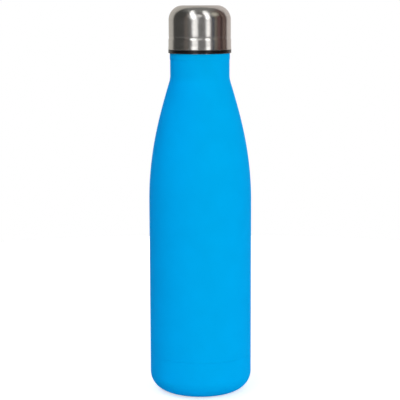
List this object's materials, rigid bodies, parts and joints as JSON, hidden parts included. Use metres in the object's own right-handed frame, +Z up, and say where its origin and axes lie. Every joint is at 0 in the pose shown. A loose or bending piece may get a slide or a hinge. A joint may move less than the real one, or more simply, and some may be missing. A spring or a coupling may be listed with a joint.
{
  "type": "insulated water bottle",
  "caption": "Slim vacuum-insulated steel bottle: a painted body with a long tapered shoulder, a hidden inner vessel, and a screw-in stopper under a domed brushed-steel cap.",
  "frame": {"origin": "centre of the foot ring, on the plane the bottle stands on", "axes": "+Z up along the bottle's axis of revolution; -Y is the side that faces the viewer"},
  "size_m": [0.07, 0.07, 0.265],
  "materials": {
    "body_paint": "bright sky-blue powder coat, soft matte",
    "cap_steel": "brushed round the axis, satin",
    "base_steel": "bare, lightly brushed",
    "liner_steel": "bare, electropolished satin",
    "stopper_plastic": "black moulded polypropylene, satin",
    "silicone": "translucent white silicone, matte",
    "foam": "off-white closed-cell foam",
    "getter_metal": "pressed grey metal powder",
    "seal_glass": "dark fused solder glass"
  },
  "bodies": {
    "bottle": {"outer_shell": "body_paint", "outer_base": "body_paint", "base_plate": "base_steel", "seal_bead": "seal_glass", "liner": "liner_steel", "liner_base": "liner_steel", "getter_pill": "getter_metal", "getter_strap": "liner_steel"},
    "seal_ring": {"gasket": "silicone"},
    "lid": {"stopper": "stopper_plastic", "stopper_cover": "stopper_plastic", "foam_core": "foam", "cap_shell": "cap_steel"}
  },
  "joints": [
    {"name": "lid_rise", "type": "slide", "parent": "bottle", "child": "seal_ring", "axis": [0, 0, 1], "range_m": [0, 0.024]},
    {"name": "lid_turn", "type": "hinge", "parent": "seal_ring", "child": "lid", "pos_m": [0, 0, 0.233], "axis": [0, 0, 1], "range_deg": [0, 2160]}
  ],
  "couplings": [
    {"joint": "lid_rise", "follows": "lid_turn", "m_per_rad": 0.00063662}
  ]
}
